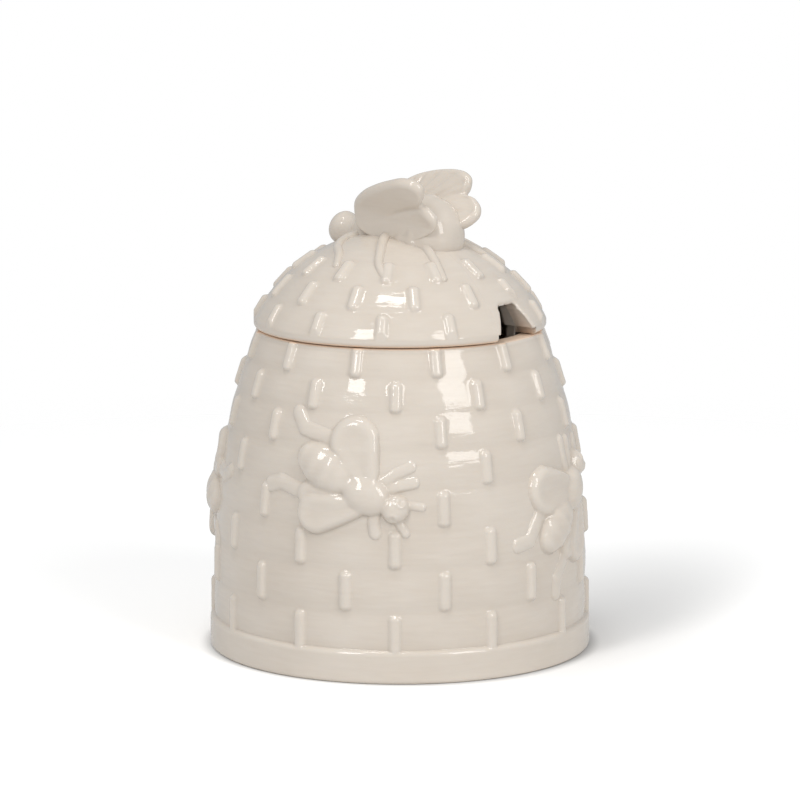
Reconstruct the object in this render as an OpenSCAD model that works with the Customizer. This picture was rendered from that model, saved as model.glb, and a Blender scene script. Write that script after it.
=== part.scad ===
// Glazed ceramic honey pot in the shape of a straw skep, with a lift-off domed lid.
// Millimetres, +Z up. The origin is the centre of the foot's resting face and the
// front is toward -Y. Azimuths run from the front toward +X, in degrees.

/* [Pot] */
// Height of the pot from the table to its rim
pot_h = 90.2; // [80:0.2:110]
// Outer radius of the wall just above the foot band
body_r = 52.2; // [48:0.2:60]
// Outer radius of the wall at the rim
rim_r = 39.8; // [38:0.2:44]
// Thickness of the pot's wall
wall = 5; // [3.5:0.1:6]
// Thickness of the floor inside the pot
floor_t = 6; // [4:0.5:9]
// Radius between the floor and the wall inside the pot
floor_round = 10; // [4:0.5:12]
// Height at which the wall starts to lean inward
lean_z = 20; // [17:0.5:30]
// How sharply the lean grows toward the rim
lean_power = 2.3; // [1.6:0.1:3]

/* [Foot] */
// Height of the plain foot band
foot_h = 9.2; // [6:0.2:12]
// How far the foot band stands out from the wall
foot_step = 1.5; // [0.8:0.1:3]
// Radius of the foot band's upper edge
foot_top_round = 1.4; // [0.4:0.1:2]
// Radius of the foot band's lower edge
foot_low_round = 1; // [0.4:0.1:2]
// Width of the ring that the pot rests on
foot_ring_w = 7; // [4:0.5:12]
// Depth of the recess inside the resting ring
foot_recess = 1.4; // [0.6:0.1:2.5]

/* [Straw coils] */
// Number of coils on the pot's wall
pot_coils = 8; // [5:1:10]
// Height on the wall where the lowest coil starts
coil_start = 7; // [5:0.2:9]
// Share by which the coils shorten from the foot to the rim
coil_shrink = 0.21; // [0:0.01:0.3]
// How far each coil bulges between its grooves
coil_bulge = 0.6; // [0.3:0.05:0.7]
// Binding straps round the pot in each coil
pot_straps = 12; // [8:1:14]
// Azimuth of one strap in the pot's lowest coil
pot_strap_az = -1.5; // [-180:0.1:180]
// Width of a binding strap
strap_w = 3.3; // [3.2:0.1:4.2]
// How far a strap stands out from its coil
strap_proud = 1; // [0.6:0.05:1]
// How much shorter a strap is than its coil
strap_gap = 1.2; // [0.6:0.1:2.4]

/* [Lid] */
// Radius of the ball that the lid's dome is part of
dome_r = 46.1; // [44:0.1:54]
// Outer radius of the lid at its lip
lid_r = 41; // [40:0.2:43]
// Height of the upright part of the lip
lip_h = 2.1; // [1:0.1:4]
// Thickness of the dome
dome_wall = 4.5; // [3.5:0.1:6]
// Coils on the lid below the bee
lid_coils = 3; // [1:1:3]
// Length of a coil along the dome
lid_coil_len = 9.2; // [7:0.1:9.6]
// Binding straps round the lid in each coil
lid_straps = 13; // [8:1:14]
// Azimuth of one strap in the lid's lowest coil
lid_strap_az = -7.3; // [-180:0.1:180]
// Radius on the lip's and the rim's outer edges
lip_round = 1.2; // [0.4:0.1:1.8]
// Depth of the locating flange below the lip
flange_h = 5; // [3:0.5:8]
// Thickness of the locating flange
flange_t = 3; // [2:0.1:5]
// Gap all round between the flange and the pot's mouth
flange_gap = 1; // [0.6:0.1:1.6]
// Gap between the lip and the rim
seat_gap = 0.3; // [0.1:0.05:0.6]
// Gap between a bee's parts and the clay they are pressed on
clay_gap = 0.12; // [0.1:0.01:0.3]

/* [Spoon notch] */
// Azimuth of the notch
notch_az = 54; // [0:1:359]
// Width of the notch at the lip
notch_w = 18.2; // [12:0.2:22]
// Width of the notch at its top
notch_top_w = 9; // [6:0.2:11]
// Height of the notch above the lip
notch_h = 9.4; // [6:0.2:13]
// Radius in the notch's upper corners
notch_round = 1.8; // [0.8:0.1:2.6]

/* [Bee on the lid] */
// Direction the bee faces, from +X toward +Y
bee_heading = 142; // [0:1:359]
// Length of the bee from brow to tail
bee_len = 44; // [34:0.5:48]
// Radius of the abdomen
abdomen_r = 10; // [8:0.1:10.8]
// Angle by which the abdomen droops toward the tail
abdomen_droop = 17; // [10:1:20]
// Radius of the thorax
thorax_r = 7.4; // [5:0.1:8.5]
// Radius of the head
head_r = 4.4; // [3.5:0.1:5.5]
// Radius of an eye
eye_r = 1.3; // [0.8:0.1:1.8]
// Depth to which the body sits in the dome
bee_sink = 4; // [2.5:0.1:5]
// Lean of a fore wing out from upright
fore_lean = 27; // [15:1:40]
// Lean of a hind wing out from upright
hind_lean = 48; // [30:1:60]
// Thickness of a wing
wing_t = 3.4; // [2:0.1:4.4]
// Radius of the broad lobe of a fore wing
fore_lobe_r = 8.4; // [6:0.1:9]
// Radius of the lobe of a hind wing
hind_lobe_r = 5.2; // [4:0.1:6.5]
// Radius of a leg
leg_r = 1.4; // [0.9:0.1:1.8]

/* [Bees on the wall] */
// Length of a wall bee from brow to tail
wall_bee_len = 34; // [24:0.5:36]
// Width of a wall bee's abdomen
wall_abdomen_w = 11; // [8:0.5:12]
// How far a wall bee's abdomen stands out from the wall
wall_abdomen_proud = 3.2; // [2:0.1:4]
// Radius of a wall bee's head
wall_head_r = 3.7; // [3:0.1:4.5]
// Length of a wall bee's wing from the thorax to its tip
wall_wing_len = 20; // [14:0.5:22]
// Width of a wall bee's wing
wall_wing_w = 13; // [8:0.5:14]
// How far a wall bee's wing stands out from the wall
wall_wing_proud = 1.5; // [0.8:0.1:2.2]

/* [Hidden] */
smooth_fn = 96;
small_fn = 16;
glaze = "linen";
glaze_deep = "antiquewhite";
// Each wall bee as azimuth, height and heading on the wall
FRONT_BEE = [-15.5, 54.5, -27];
RIGHT_BEE = [63.5, 44.8, 41];
BACK_BEE = [164.5, 54.5, -27];
LEFT_BEE = [-98, 47, 160];
WALL_BEES = [FRONT_BEE, RIGHT_BEE, BACK_BEE, LEFT_BEE];

lid_z = pot_h + seat_gap;
dome_z = lid_z + lip_h - sqrt(dome_r * dome_r - lid_r * lid_r);
apex_z = dome_z + dome_r;
mouth_r = rim_r - wall;
flange_r = mouth_r - flange_gap;
flange_in = flange_r - flange_t;
first_coil_angle = asin((lid_z + lip_h / 2 - dome_z) / dome_r);
coil_angle = 2 * asin(lid_coil_len / 2 / dome_r);
// A strap is a rounded bar sunk in its coil, strap_w wide where it leaves the coil
strap_r = (strap_w * strap_w / 4 + strap_proud * strap_proud) / (2 * strap_proud);

// Outer radius of the pot's wall at height z, without the coils
function wall_r(z) =
    body_r - (body_r - rim_r) * pow(max(0, z - lean_z) / (pot_h - lean_z), lean_power);

// Height of the groove under coil k, where coils shorten steadily toward the rim
function coil_z(k) =
    let (t = k / pot_coils)
    coil_start + (pot_h + 0.5 - coil_start) * t * (1 + coil_shrink * (1 - t));

function wall_point(k) = [wall_r(coil_z(k)), coil_z(k)];

// Place on the dome at an angle above its equator
function dome_point(angle) = [dome_r * cos(angle), dome_z + dome_r * sin(angle)];
function lid_point(k) = dome_point(first_coil_angle + coil_angle * k);

function lean_of(p, q) = atan2(p.x - q.x, q.y - p.y);

// Signed difference between two azimuths
function turn(a, b) = (a - b + 540) % 360 - 180;

// Whether a strap at an azimuth and height lies under one of the wall bees
function under_bee(az, z) =
    len([for (bee = WALL_BEES)
        let (along = turn(az, bee[0]) * PI / 180 * wall_r(z),
             up = z - bee[1],
             forward = (along * cos(bee[2]) + up * sin(bee[2])) / (wall_bee_len * 0.62),
             side = (up * cos(bee[2]) - along * sin(bee[2])) / (wall_wing_len * 0.87))
        if (forward * forward + side * side < 1) 1]) > 0;

module at_azimuth(az) rotate([0, 0, az - 90]) children();

// Cross-section of one coil, bulging outward from the line between two grooves
module coil_section(p, q) {
    chord = norm(q - p);
    arc_r = (chord * chord / 4 + coil_bulge * coil_bulge) / (2 * coil_bulge);
    translate((p + q) / 2) rotate(lean_of(p, q))
        intersection() {
            translate([coil_bulge - arc_r, 0]) circle(arc_r, $fn = smooth_fn);
            translate([-1, -chord]) square([coil_bulge + 2, 2 * chord]);
        }
}

// Round bar with domed ends, for a strap of the given length, grown by a gap all round
module strap_bar(length, gap) {
    rotate_extrude($fn = small_fn) intersection() {
        circle(length / 2 + gap, $fn = smooth_fn / 2);
        translate([0, -length]) square([strap_r + gap, 2 * length]);
    }
}

// Strap across the coil between two grooves
module strap(p, q, gap = 0) {
    mid = (p + q) / 2;
    translate([mid.x, 0, mid.y]) rotate([0, -lean_of(p, q), 0])
        translate([coil_bulge + strap_proud - strap_r, 0, 0])
            rotate([0, 0, 180]) strap_bar(norm(q - p) - strap_gap, gap);
}

// What a rounded outer edge of radius round leaves over in a square corner
module corner_waste(round) {
    difference() {
        translate([-round, -1]) square([round + 1, round + 1]);
        translate([-round, round]) circle(round, $fn = smooth_fn);
    }
}

// Outline of the pot as a solid lump, with its coils and foot band
module pot_outline() {
    inset = 0.5;
    foot_r = body_r + foot_step;
    difference() {
        union() {
            polygon(concat([[0, 0], [body_r - inset, 0]],
                [for (k = [0:pot_coils]) wall_point(k) - [inset, 0]],
                [[0, coil_z(pot_coils)]]));
            for (k = [0:pot_coils - 1])
                coil_section(wall_point(k), wall_point(k + 1));
            square([foot_r, foot_h]);
        }
        translate([foot_r, foot_h]) mirror([0, 1]) corner_waste(foot_top_round);
        translate([foot_r, 0]) corner_waste(foot_low_round);
        translate([0, pot_h]) square([body_r, 5]);
        translate([rim_r, pot_h]) mirror([0, 1]) corner_waste(lip_round);
    }
}

// Outline of the space inside the pot
module cavity_outline() {
    inner_r = body_r - wall;
    round_z = floor_t + floor_round;
    steps = 12;
    polygon(concat([[0, floor_t], [inner_r - floor_round, floor_t],
            [inner_r - floor_round, round_z], [inner_r, round_z]],
        [for (i = [0:steps])
            let (z = lean_z + (pot_h - lean_z) * i / steps) [wall_r(z) - wall, z]],
        [[mouth_r, pot_h + 2], [0, pot_h + 2]]));
    translate([inner_r - floor_round, round_z]) mirror([0, 1]) intersection() {
        circle(floor_round, $fn = smooth_fn);
        square(floor_round);
    }
}

module pot_wall() {
    color(glaze) difference() {
        union() {
            rotate_extrude($fn = smooth_fn) pot_outline();
            for (k = [0:pot_coils - 1], i = [0:pot_straps - 1]) {
                az = pot_strap_az + (i + (k % 2) / 2) * 360 / pot_straps;
                mid_z = (coil_z(k) + coil_z(k + 1)) / 2;
                if (!under_bee(az, mid_z))
                    at_azimuth(az) strap(wall_point(k), wall_point(k + 1));
            }
        }
        rotate_extrude($fn = smooth_fn) cavity_outline();
        translate([0, 0, -1])
            cylinder(r = body_r + foot_step - foot_ring_w, h = foot_recess + 1, $fn = smooth_fn);
        translate([0, 0, pot_h]) cylinder(r = rim_r + 5, h = 5, $fn = smooth_fn);
    }
}

// Frame on the wall at (along, up) from a bee's centre, with +Z out of the wall
module on_wall(bee, along, up) {
    z = bee[1] + up;
    az = bee[0] + along / wall_r(z) * 180 / PI;
    lean = lean_of([wall_r(z - 1), z - 1], [wall_r(z + 1), z + 1]);
    at_azimuth(az) translate([wall_r(z) + coil_bulge / 2, 0, z])
        rotate([0, 90 - lean, 0]) rotate([0, 0, 90]) children();
}

// The same frame, at a place given along the bee's own body and across it
module on_bee(bee, forward, side) {
    heading = bee[2];
    on_wall(bee, forward * cos(heading) - side * sin(heading),
        forward * sin(heading) + side * cos(heading)) rotate([0, 0, heading]) children();
}

module egg(rx, ry, rz) scale([rx, ry, rz]) sphere(1, $fn = small_fn);

// Ridge between two places on the bee, such as part of a leg
module wall_ridge(bee, from, to, radius) {
    hull() {
        on_bee(bee, from.x, from.y) sphere(radius, $fn = 10);
        on_bee(bee, to.x, to.y) sphere(radius * 0.8, $fn = 10);
    }
}

// One wing of a wall bee: a broad lobe in front of a shorter one
module wall_wing(bee, side) {
    root = wall_bee_len * 0.16;
    root_r = wall_bee_len * 0.06;
    // Each lobe's reach, angle from the head, radius and height, the first three as shares
    lobes = [[0.68, 136, 0.5, 1], [0.5, 158, 0.36, 0.75]];
    for (lobe = lobes) {
        reach = wall_wing_len * lobe[0];
        lobe_r = wall_wing_w * lobe[2];
        hull() {
            on_bee(bee, root, side * wall_bee_len * 0.07)
                egg(root_r, root_r, wall_wing_proud);
            on_bee(bee, root + reach * cos(lobe[1]), side * reach * sin(lobe[1]))
                egg(lobe_r, lobe_r, wall_wing_proud * lobe[3]);
        }
    }
}

// A bee in relief, seated on the outside of the wall
module wall_bee(bee) {
    unit = wall_bee_len / 34;
    thorax_w = wall_abdomen_w * 0.92;
    eye = wall_head_r * 0.4;
    // Ridges of the feelers and legs on one side, each as its two ends and its radius
    feeler = [[16, 1.6], [20, 3.6], 1];
    fore_leg = [[9, 4], [14, 9.5], 1.3];
    hind_thigh = [[-9, 6], [-15.5, 7], 1.5];
    hind_shin = [[-15.5, 7], [-18.5, 9], 1.4];
    color(glaze_deep) difference() {
        union() {
            on_bee(bee, -8.3 * unit, 0)
                egg(9 * unit, wall_abdomen_w / 2, wall_abdomen_proud);
            on_bee(bee, 5.5 * unit, 0)
                egg(6 * unit, thorax_w / 2, wall_abdomen_proud * 1.05);
            on_bee(bee, 13.4 * unit, 0)
                egg(wall_head_r, wall_head_r, wall_abdomen_proud * 0.85);
            for (side = [-1, 1]) {
                wall_wing(bee, side);
                on_bee(bee, 14.4 * unit, side * wall_head_r * 0.6)
                    egg(eye, eye, wall_abdomen_proud * 1.06);
                for (r = [feeler, fore_leg, hind_thigh, hind_shin])
                    wall_ridge(bee, [r[0].x, side * r[0].y] * unit,
                        [r[1].x, side * r[1].y] * unit, r[2] * unit);
            }
        }
        rotate_extrude($fn = smooth_fn) translate([clay_gap, 0]) pot_outline();
    }
}

// Cross-section of the lid as a solid lump, with its coils, lip and flange
module lid_outline() {
    difference() {
        union() {
            intersection() {
                translate([0, dome_z]) circle(dome_r, $fn = smooth_fn);
                translate([0, lid_z]) square([lid_r, dome_r]);
            }
            difference() {
                for (k = [0:lid_coils - 1])
                    coil_section(lid_point(k), lid_point(k + 1));
                translate([lid_r, 0]) square([dome_r, lid_z + dome_r]);
            }
            translate([flange_in, lid_z - flange_h]) square([flange_t, flange_h + 2]);
        }
        translate([0, lid_z - flange_h - dome_r]) square([2 * dome_r, dome_r]);
        translate([flange_r, lid_z - flange_h - dome_r]) square([dome_r, flange_h + dome_r]);
        translate([lid_r, lid_z]) corner_waste(lip_round);
    }
}

// Cross-section of the space under the dome
module lid_cavity_outline() {
    inner_r = dome_r - dome_wall;
    join_z = dome_z + sqrt(inner_r * inner_r - flange_in * flange_in);
    intersection() {
        translate([0, dome_z]) circle(inner_r, $fn = smooth_fn);
        translate([0, join_z]) square([flange_in, dome_r]);
    }
    translate([0, lid_z - flange_h - 1]) square([flange_in, join_z - lid_z + flange_h + 1]);
}

// Arch of the spoon notch, standing on the lip
module notch_arch() {
    half_w = notch_w / 2;
    half_top = notch_top_w / 2;
    corner_z = notch_h - notch_round;
    below = flange_h + 3;
    slope_z = lip_h / 2;
    polygon([[-half_w, slope_z], [-half_top, corner_z], [-half_top + notch_round, corner_z],
        [-half_top + notch_round, notch_h], [half_top - notch_round, notch_h],
        [half_top - notch_round, corner_z], [half_top, corner_z], [half_w, slope_z],
        [half_w, -below], [-half_w, -below]]);
    for (side = [0, 1])
        mirror([side, 0]) translate([half_top - notch_round, corner_z]) intersection() {
            circle(notch_round, $fn = small_fn * 2);
            square(notch_round);
        }
}

module spoon_notch() {
    at_azimuth(notch_az) translate([dome_r * 0.45, 0, lid_z]) rotate([90, 0, 90])
        linear_extrude(dome_r) notch_arch();
}

// The lid without its hollow and its notch, which the bee on top is seated on
module lid_lump(gap = 0) {
    rotate_extrude($fn = smooth_fn) translate([gap, gap]) lid_outline();
    for (k = [0:lid_coils - 1], i = [0:lid_straps - 1]) {
        az = lid_strap_az + (i + (k % 2) / 2) * 360 / lid_straps;
        at_azimuth(az) strap(lid_point(k), lid_point(k + 1), gap);
    }
}

module lid_dome() {
    color(glaze) difference() {
        lid_lump();
        rotate_extrude($fn = smooth_fn) lid_cavity_outline();
        spoon_notch();
    }
}

// Frame of the lid's bee: origin on the dome's top, +X forward, +Z up
module lid_bee_frame() translate([0, 0, apex_z]) rotate([0, 0, bee_heading]) children();

// Height of the dome below its top at a distance from the axis
function dome_drop(distance) = dome_r - sqrt(dome_r * dome_r - distance * distance);

// Ball that the dome is part of, in the bee's frame
module dome_ball(gap = 0) translate([0, 0, dome_z - apex_z]) sphere(dome_r + gap, $fn = smooth_fn);

head_x = bee_len / 2 + 1.5 - head_r;
head_z = head_r - bee_sink * 0.4 - dome_drop(head_x);
thorax_x = bee_len * 0.2;
thorax_z = thorax_r - bee_sink;
abdomen_half = bee_len * 0.27;
abdomen_x = 2.5 - bee_len / 2 + abdomen_half - 1.5;
abdomen_z = abdomen_r - bee_sink * 2.1 - dome_drop(abdomen_x);

// Abdomen pointed at the tail, turned round the bee's long axis
module abdomen(gap) {
    arc_r = (abdomen_half * abdomen_half + abdomen_r * abdomen_r) / (2 * abdomen_r);
    translate([abdomen_x, 0, abdomen_z]) rotate([0, -90 - abdomen_droop, 0])
        rotate_extrude($fn = smooth_fn / 2) intersection() {
            translate([abdomen_r - arc_r, 0]) circle(arc_r + gap, $fn = smooth_fn);
            circle(abdomen_half - 0.8 + gap, $fn = smooth_fn);
            translate([0, -2 * abdomen_half]) square([2 * abdomen_r, 4 * abdomen_half]);
        }
}

// Abdomen, thorax, head and eyes in the bee's frame, grown by a gap all round
module lid_bee_lump(gap = 0) {
    abdomen(gap);
    translate([thorax_x, 0, thorax_z]) sphere(thorax_r + gap, $fn = smooth_fn / 2);
    translate([head_x, 0, head_z]) sphere(head_r + gap, $fn = smooth_fn / 2);
    for (side = [-1, 1])
        translate([head_x + head_r * 0.5, side * head_r * 0.62, head_z + head_r * 0.42])
            sphere(eye_r + gap, $fn = small_fn);
}

module lid_bee_body() {
    color(glaze_deep) difference() {
        lid_bee_frame() lid_bee_lump();
        lid_bee_frame() dome_ball(clay_gap);
    }
}

// One pair of wings, a broad fore wing and a smaller hind wing that leans out further
// Each disc of a wing is its place along the bee, its place up the wing and its radius
module wing_pair(side) {
    unit = bee_len / 44;
    fore = [[6 * unit, 3.5 * unit, 3.5 * unit], [-0.5 * unit, 10.2 * unit, fore_lobe_r],
        [-12 * unit, 13.5 * unit, fore_lobe_r / 2]];
    hind = [[-3 * unit, 3 * unit, 4 * unit], [-10 * unit, 5.5 * unit, hind_lobe_r],
        [-16 * unit, 6.5 * unit, hind_lobe_r]];
    lid_bee_frame() translate([0, side * thorax_r * 0.62, thorax_z - thorax_r * 0.45])
        for (wing = [[fore, fore_lean], [hind, hind_lean]])
            rotate([90 - side * wing[1], 0, 0])
                hull() for (disc = wing[0])
                    translate([disc.x, disc.y, 0]) egg(disc.z, disc.z, wing_t / 2);
}

// Wings cut where they grow out of the bee's body and rest on the dome
module seated_wings(side) {
    difference() {
        wing_pair(side);
        lid_bee_frame() lid_bee_lump(clay_gap);
        rotate_extrude($fn = smooth_fn) translate([clay_gap, clay_gap]) lid_outline();
    }
}

module lid_bee_left_wings() color(glaze) seated_wings(1);
module lid_bee_right_wings() color(glaze) seated_wings(-1);

// Place on the dome's surface at a distance forward and to the side of its top
function on_dome(p) = [p.x, p.y, -dome_drop(norm(p))];

module lid_bee_legs() {
    unit = bee_len / 44;
    // Hip, knee and foot of each leg, forward and to the side of the dome's top
    legs = [
        [[7, 6], [10, 14], [7, 21]] * unit,
        [[-2, 9], [-6, 18], [-10, 21]] * unit,
        [[-12, 8], [-18, 11], [-21, 14]] * unit];
    color(glaze_deep) difference() {
        lid_bee_frame()
            for (side = [-1, 1], leg = legs, joint = [0, 1])
                hull() for (p = [leg[joint], leg[joint + 1]])
                    translate(on_dome([p.x, side * p.y])) sphere(leg_r, $fn = 12);
        lid_bee_frame() lid_bee_lump(clay_gap);
        wing_pair(1);
        wing_pair(-1);
        lid_lump(clay_gap);
    }
}

pot_wall();
wall_bee(FRONT_BEE);  // front_bee
wall_bee(RIGHT_BEE);  // right_bee
wall_bee(BACK_BEE);  // back_bee
wall_bee(LEFT_BEE);  // left_bee
lid_dome();
lid_bee_body();
lid_bee_left_wings();
lid_bee_right_wings();
lid_bee_legs();
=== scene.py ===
"""Looks of a glazed ceramic honey pot shaped like a straw skep, with a lift-off lid and bees in relief.

Every surface is worked out in millimetres as whole arrays and stored in metres, in the frame of the
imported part: +Z up, the origin at the centre of the foot, the front toward -Y, azimuths from the front to +X.
"""

import math

import bpy
import numpy as np
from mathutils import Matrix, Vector


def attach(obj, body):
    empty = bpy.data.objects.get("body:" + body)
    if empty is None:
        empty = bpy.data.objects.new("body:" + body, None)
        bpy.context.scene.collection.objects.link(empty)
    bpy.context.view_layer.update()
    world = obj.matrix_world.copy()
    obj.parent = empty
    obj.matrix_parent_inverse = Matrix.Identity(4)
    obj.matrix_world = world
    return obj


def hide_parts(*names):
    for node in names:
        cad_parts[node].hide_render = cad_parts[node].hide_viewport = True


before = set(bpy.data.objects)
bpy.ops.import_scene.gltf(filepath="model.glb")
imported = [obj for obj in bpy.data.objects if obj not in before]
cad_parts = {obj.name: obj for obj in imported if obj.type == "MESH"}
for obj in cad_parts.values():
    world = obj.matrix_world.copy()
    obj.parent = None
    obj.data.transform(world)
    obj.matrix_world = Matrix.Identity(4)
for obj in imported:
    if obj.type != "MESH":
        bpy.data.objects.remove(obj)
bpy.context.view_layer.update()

# --- The pot's wall ---
# One slip-cast earthenware vessel. Its mould gives it eight straw coils, the half-round binding
# straps that stagger from coil to coil, and a plain foot band. Glazed all over but for the wiped
# rim and the ring that it stands on.

MM = 0.001
POT_H, BODY_R, RIM_R, WALL = 90.2, 52.2, 39.8, 5.0
LEAN_Z, LEAN_POWER = 20.0, 2.3
FOOT_H, FOOT_STEP, FOOT_TOP_ROUND, FOOT_LOW_ROUND, FOOT_RING_W, FOOT_RECESS = 9.2, 1.5, 1.4, 1.0, 7.0, 1.4
FLOOR_T, FLOOR_ROUND = 6.0, 10.0
POT_COILS, COIL_START, COIL_SHRINK, COIL_BULGE = 8, 7.0, 0.21, 0.6
POT_STRAPS, POT_STRAP_AZ = 12, -1.5
STRAP_W, STRAP_PROUD, STRAP_GAP = 3.3, 1.0, 1.2
LIP_ROUND = 1.2
FRONT_BEE, RIGHT_BEE = (-15.5, 54.5, -27.0), (63.5, 44.8, 41.0)
BACK_BEE, LEFT_BEE = (164.5, 54.5, -27.0), (-98.0, 47.0, 160.0)
WALL_BEE_LEN, WALL_WING_LEN = 34.0, 20.0
COIL_SWELL, STRAW_DEPTH = 0.36, 0.04
STRAP_ROUND, NO_STRAP = 1.55, -3.0
WALL_ROWS, WALL_ROWS_FROM, BAND_ROWS_FROM = 198, 10, 7.4


def smooth_max(a, b, k):
    """The larger of two heights, with their crossing rounded over a band of about k."""
    h = np.clip(0.5 + 0.5 * (a - b) / k, 0, 1)
    return b + (a - b) * h + k * h * (1 - h)


def ease(low, high, x):
    """0 below low, 1 above high, and 3t squared minus 2t cubed between them."""
    t = np.clip((x - low) / (high - low), 0, 1)
    return t * t * (3 - 2 * t)


def uneven(u, v, columns, rows, seed):
    """Smooth unevenness from -1 to 1: seeded values on a lattice, blended with 3t squared minus 2t cubed.
    It repeats after the given number of columns along u."""
    table = np.random.default_rng(seed).uniform(-1, 1, (rows + 2, columns))
    v = np.clip(v, 0, rows)
    i, j = np.floor(u).astype(int), np.floor(v).astype(int)
    s, t = u - i, v - j
    s, t = s * s * (3 - 2 * s), t * t * (3 - 2 * t)
    left, right = i % columns, (i + 1) % columns
    low = table[j, left] * (1 - s) + table[j, right] * s
    high = table[j + 1, left] * (1 - s) + table[j + 1, right] * s
    return low * (1 - t) + high * t


def wall_r(z):
    """Wall radius without coils: the body's radius less a power curve above the height where it leans."""
    t = np.maximum(0, z - LEAN_Z) / (POT_H - LEAN_Z)
    return BODY_R - (BODY_R - RIM_R) * t ** LEAN_POWER


coil_t = np.arange(POT_COILS + 1) / POT_COILS
COIL_Z = COIL_START + (POT_H + 0.5 - COIL_START) * coil_t * (1 + COIL_SHRINK * (1 - coil_t))


def coil_place(z):
    """Which coil a height is in, how far along that coil's chord in mm from its middle, the chord's length,
    its radius there and the share of it that is upright."""
    k = np.clip(np.searchsorted(COIL_Z, z, side="right") - 1, 0, POT_COILS - 1)
    low, high = COIL_Z[k], COIL_Z[k + 1]
    run, rise = wall_r(high) - wall_r(low), high - low
    chord = np.hypot(run, rise)
    t = (z - low) / rise
    return k, (t - 0.5) * chord, chord, wall_r(low) + run * t, rise / chord


def coil_bulge(along, chord):
    """Height of a coil over its chord: a parabola, its two grooves filled a little with glaze."""
    t = 2 * along / chord
    return smooth_max(COIL_SWELL * (1 - t * t), 0.02 + 0 * t, 0.16)


def strap_height(across, along, length):
    """Height of a strap over its coil's chord: the top of a round bar, falling off round at its two ends."""
    half_w, half_l = STRAP_W / 2 + 0.25, length / 2 + 0.2
    in_w, in_l = half_w - np.abs(across), half_l - np.abs(along)
    corner = np.hypot(np.maximum(STRAP_ROUND - in_w, 0), np.maximum(STRAP_ROUND - in_l, 0))
    crown = np.sqrt(np.maximum(0, 1 - np.minimum(corner / STRAP_ROUND, 1) ** 2))
    bar = COIL_SWELL + (STRAP_PROUD + 0.8) * crown - 0.85 - 0.06 * np.maximum(0, np.abs(across) - 0.4) ** 2
    return np.where(corner < STRAP_ROUND, bar, NO_STRAP)


def angle_gap(a, b):
    """Signed difference of two azimuths in degrees, a less b, from -180 to 180."""
    return (a - b + 180) % 360 - 180


def under_bee(az, z):
    """True for a strap whose middle lies in the ellipse that a wall bee covers."""
    hidden = False
    for bee_az, bee_z, heading in (FRONT_BEE, RIGHT_BEE, BACK_BEE, LEFT_BEE):
        along = angle_gap(az, bee_az) * math.pi / 180 * wall_r(z)
        c, s = math.cos(math.radians(heading)), math.sin(math.radians(heading))
        forward = (along * c + (z - bee_z) * s) / (WALL_BEE_LEN * 0.62)
        side = ((z - bee_z) * c - along * s) / (WALL_WING_LEN * 0.87)
        hidden = hidden | (forward ** 2 + side ** 2 < 1)
    return hidden


def straw(az, z):
    """Fine straws along the coils: two layers of unevenness, long round the pot and short in height."""
    coarse = uneven(az / 9 % 40, z / 0.85, 40, 120, 11)
    fine = uneven(az / 4 % 90, z / 0.5, 90, 200, 12)
    patch = 0.6 + 0.4 * uneven(az / 30 % 12, z / 9, 12, 14, 13)
    return STRAW_DEPTH * (coarse + 0.35 * fine) * patch


def wall_height(az, z):
    """Height of the wall's skin over the straight chord of its coil: coil, straps and straws together."""
    k, along, chord, _, _ = coil_place(z)
    height = coil_bulge(along, chord)
    step = 360 / POT_STRAPS
    near = np.round((az - POT_STRAP_AZ) / step - (k % 2) / 2) + (k % 2) / 2
    strap_az = POT_STRAP_AZ + near * step
    middle = (COIL_Z[k] + COIL_Z[k + 1]) / 2
    bar = strap_height(angle_gap(az, strap_az) * math.pi / 180 * wall_r(z), along, chord - STRAP_GAP)
    bar = np.where(under_bee(strap_az, middle), NO_STRAP, bar)
    return smooth_max(height, bar, 0.5) + straw(az, z) * ease(POT_H, POT_H - 3, z)


def skin_r(az, z, height):
    """Radius of the skin: the chord's radius plus the height, turned by the lean of the coil."""
    _, _, _, chord_r, upright = coil_place(z)
    return chord_r + height / upright


def ring_points(az, r, z):
    """Points at azimuths in degrees, radii and heights."""
    a = np.radians(az)
    return np.stack(np.broadcast_arrays(r * np.sin(a), -r * np.cos(a), z), axis=-1)


def make_piece(name, points, faces, body, material, node, groove, bare):
    """Object at the origin from points in mm and face arrays, riding on a body and standing for a CAD node.
    The material reads two notes per point: how deep it lies in a groove, which makes the glaze colour darker as
    glaze pooling and painted shade, and how bare of glaze it is."""
    mesh = bpy.data.meshes.new(name)
    mesh.from_pydata((points.reshape(-1, 3) * MM).tolist(), [], [f for a in faces for f in a.tolist()])
    mesh.polygons.foreach_set("use_smooth", np.ones(len(mesh.polygons), bool))
    for key, values in (("groove", groove), ("bare", bare)):
        note = mesh.attributes.new(key, "FLOAT", "POINT")
        note.data.foreach_set("value", values.ravel().astype(np.float32))
    mesh.update()
    piece = bpy.data.objects.new(name, mesh)
    bpy.context.scene.collection.objects.link(piece)
    mesh.materials.append(material)
    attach(piece, body)
    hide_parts(node)


def turned_faces(rows, columns):
    """Faces of a grid that closes round its columns, with the first and last row drawn in to one point each.
    Point 0 is the first pole, then come the rows, then the last pole."""
    at = 1 + np.arange(rows * columns).reshape(rows, columns)
    nxt = np.roll(at, -1, axis=1)
    quads = np.stack([at[:-1], nxt[:-1], nxt[1:], at[1:]], axis=-1).reshape(-1, 4)
    start, end = np.full(columns, 0), np.full(columns, 1 + rows * columns)
    return [quads, np.stack([start, nxt[0], at[0]], -1), np.stack([end, at[-1], nxt[-1]], -1)]


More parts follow.
